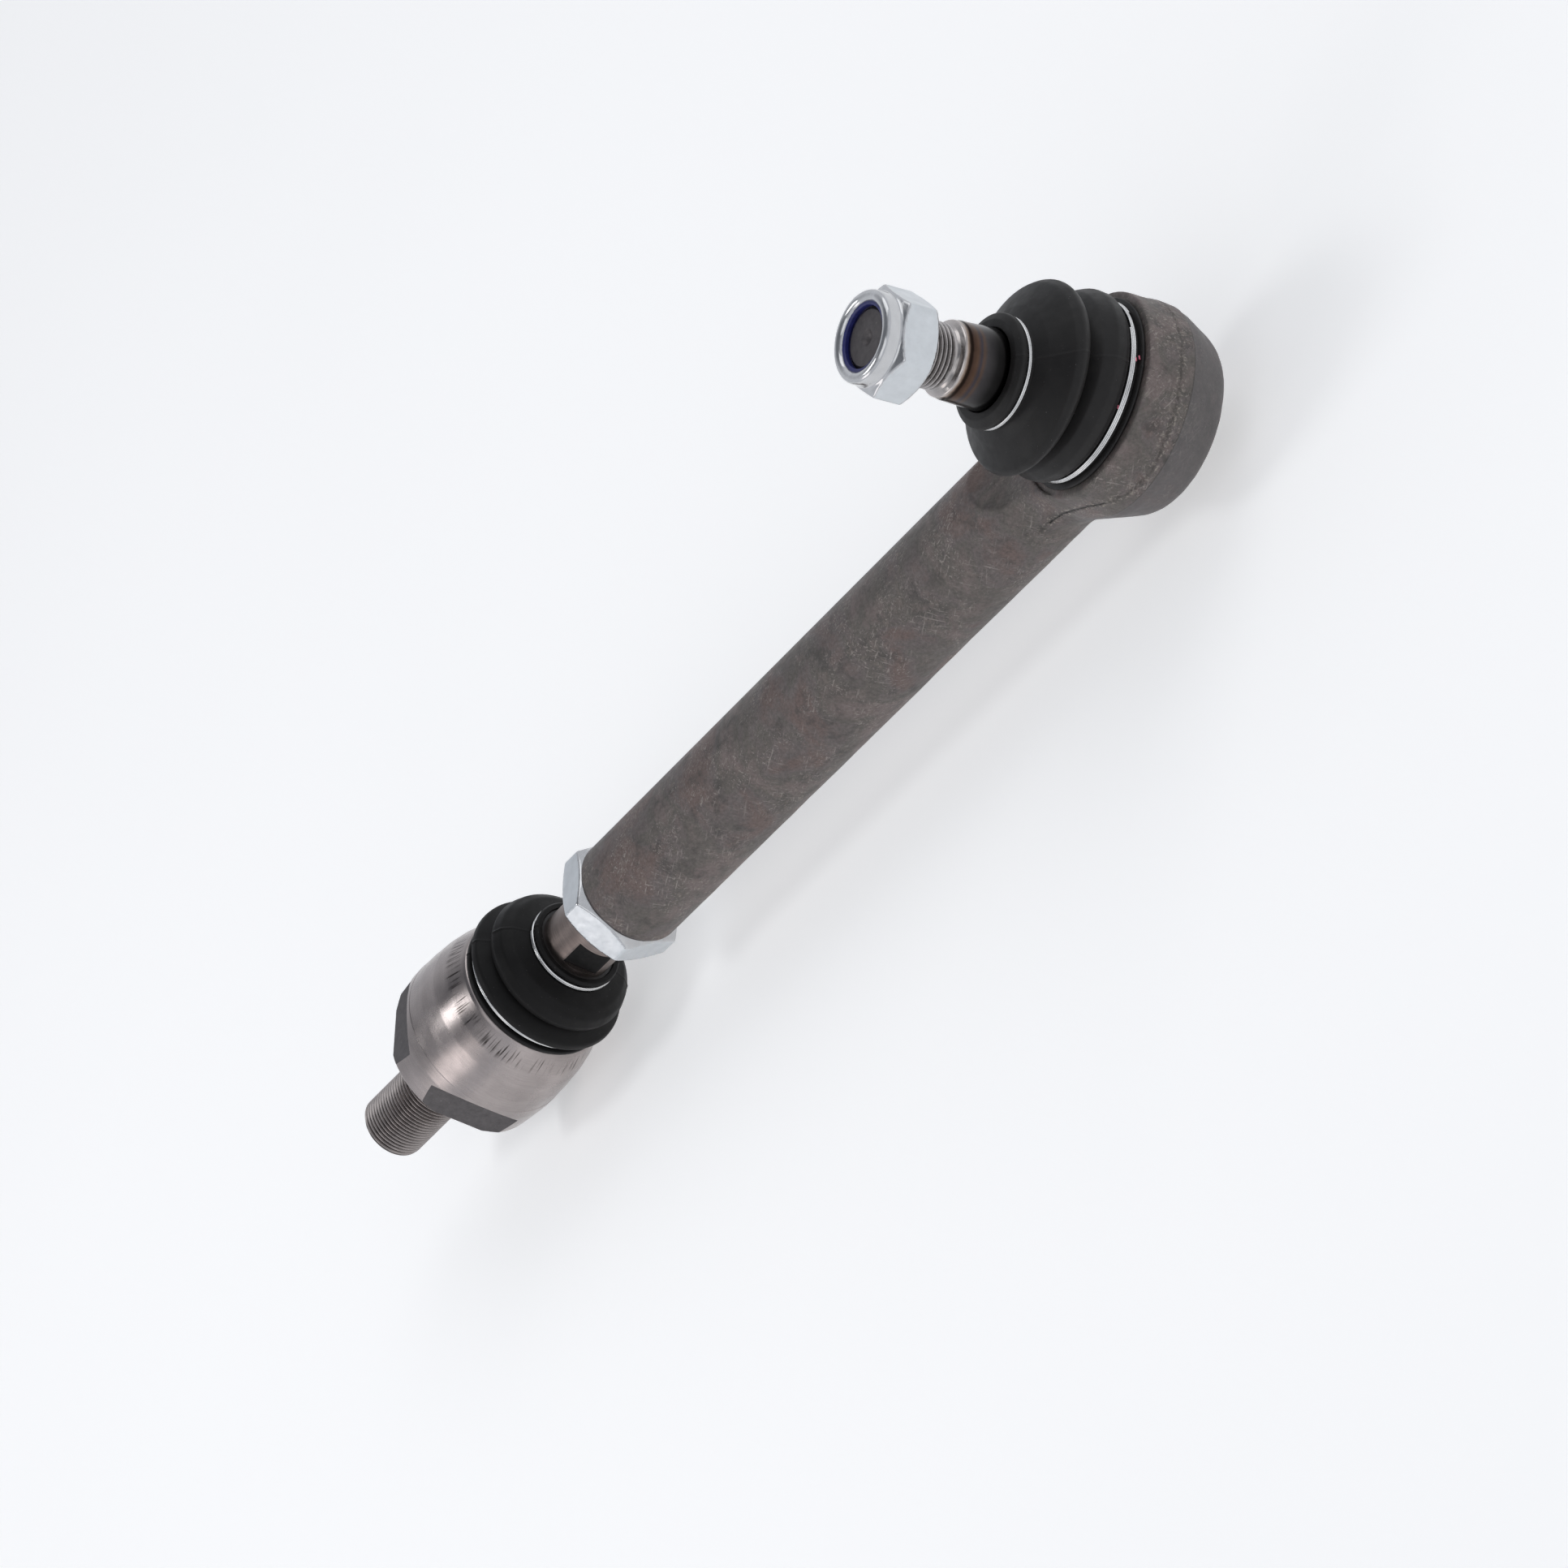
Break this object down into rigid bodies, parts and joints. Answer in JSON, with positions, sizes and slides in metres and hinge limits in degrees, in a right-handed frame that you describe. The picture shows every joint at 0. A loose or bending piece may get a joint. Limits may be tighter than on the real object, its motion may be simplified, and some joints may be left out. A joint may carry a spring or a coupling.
{
  "type": "tie rod end",
  "caption": "Adjustable steering tie rod: forged tubular rod with a stud-type outer ball joint, rubber boots and a threaded inner ball joint locked by a jam nut.",
  "frame": {"origin": "centre of the inner housing's thread shoulder, on the rod's axis", "axes": "+X along the rod from the shoulder towards the outer head, +Z along the outer head's axis towards the stud side, +Y completes the right-handed frame; the outer stud leans 7 degrees towards -Y at rest"},
  "size_m": [0.4451, 0.0652, 0.1221],
  "materials": {
    "forging": "dull forged skin, mottled brown-grey",
    "steel_plate": "pressed steel",
    "spring_steel": "oiled spring steel",
    "race_plastic": "natural acetal",
    "turned_steel": "turned, lightly oxidised",
    "boot_rubber": "matte black",
    "ring_steel": "bright wire",
    "zinc": "satin zinc plating",
    "insert_nylon": "dark blue nylon"
  },
  "bodies": {
    "rod": {"rod_body": "forging", "outer_end_cover": "steel_plate", "outer_preload_spring": "spring_steel"},
    "outer_race": {"outer_upper_race": "race_plastic", "outer_lower_race": "race_plastic", "outer_pressure_plate": "race_plastic", "outer_boot": "boot_rubber", "outer_boot_ring_large": "ring_steel"},
    "outer_neck": {"outer_boot_bush": "race_plastic", "outer_boot_ring_small": "ring_steel"},
    "outer_stud": {"outer_ball_stud": "turned_steel"},
    "nut_insert": {"stud_nut_insert": "insert_nylon"},
    "stud_nut": {"stud_nut": "zinc"},
    "lock_nut": {"lock_nut": "zinc"},
    "inner_slide": {"inner_boot_sleeve": "race_plastic"},
    "inner_pin": {"inner_ball_pin": "turned_steel"},
    "inner_neck": {"inner_boot_ring_small": "ring_steel"},
    "inner_race": {"inner_race_lower": "race_plastic", "inner_race_upper": "race_plastic", "inner_boot": "boot_rubber", "inner_boot_ring_large": "ring_steel"},
    "inner_housing": {"inner_housing": "turned_steel", "inner_closing_ring": "steel_plate"}
  },
  "joints": [
    {"name": "outer_azimuth", "type": "hinge", "parent": "rod", "child": "outer_race", "pos_m": [0.37, 0, 0], "axis": [0, 0, 1], "continuous": true},
    {"name": "outer_swing", "type": "hinge", "parent": "outer_race", "child": "outer_neck", "pos_m": [0.37, 0, 0], "axis": [1, 0, 0], "range_deg": [-29, 15], "deforming": ["outer_boot"]},
    {"name": "outer_spin", "type": "hinge", "parent": "outer_neck", "child": "outer_stud", "pos_m": [0.37, 0, 0], "axis": [0, -0.1219, 0.9925], "continuous": true},
    {"name": "nut_travel", "type": "slide", "parent": "outer_stud", "child": "nut_insert", "axis": [0, -0.1219, 0.9925], "range_m": [-0.00826, 0.01651]},
    {"name": "nut_turn", "type": "hinge", "parent": "nut_insert", "child": "stud_nut", "pos_m": [0.37, 0, 0], "axis": [0, -0.1219, 0.9925], "range_deg": [-1980, 3960]},
    {"name": "lock_nut_backoff", "type": "slide", "parent": "rod", "child": "lock_nut", "axis": [-1, 0, 0], "range_m": [0, 0.006]},
    {"name": "length_adjust", "type": "slide", "parent": "rod", "child": "inner_slide", "axis": [-1, 0, 0], "range_m": [0, 0.024]},
    {"name": "pin_turn", "type": "hinge", "parent": "inner_slide", "child": "inner_pin", "pos_m": [0.024, 0, 0], "axis": [-1, 0, 0], "range_deg": [0, 5761]},
    {"name": "inner_azimuth", "type": "hinge", "parent": "inner_slide", "child": "inner_neck", "pos_m": [0.024, 0, 0], "axis": [1, 0, 0], "continuous": true},
    {"name": "inner_swing", "type": "hinge", "parent": "inner_neck", "child": "inner_race", "pos_m": [0.024, 0, 0], "axis": [0, 1, 0], "range_deg": [-18, 18], "deforming": ["inner_boot"]},
    {"name": "inner_spin", "type": "hinge", "parent": "inner_race", "child": "inner_housing", "pos_m": [0.024, 0, 0], "axis": [1, 0, 0], "continuous": true}
  ],
  "couplings": [
    {"joint": "nut_travel", "follows": "nut_turn", "m_per_rad": 0.00023873},
    {"joint": "pin_turn", "follows": "length_adjust", "rad_per_m": 4188.8}
  ]
}
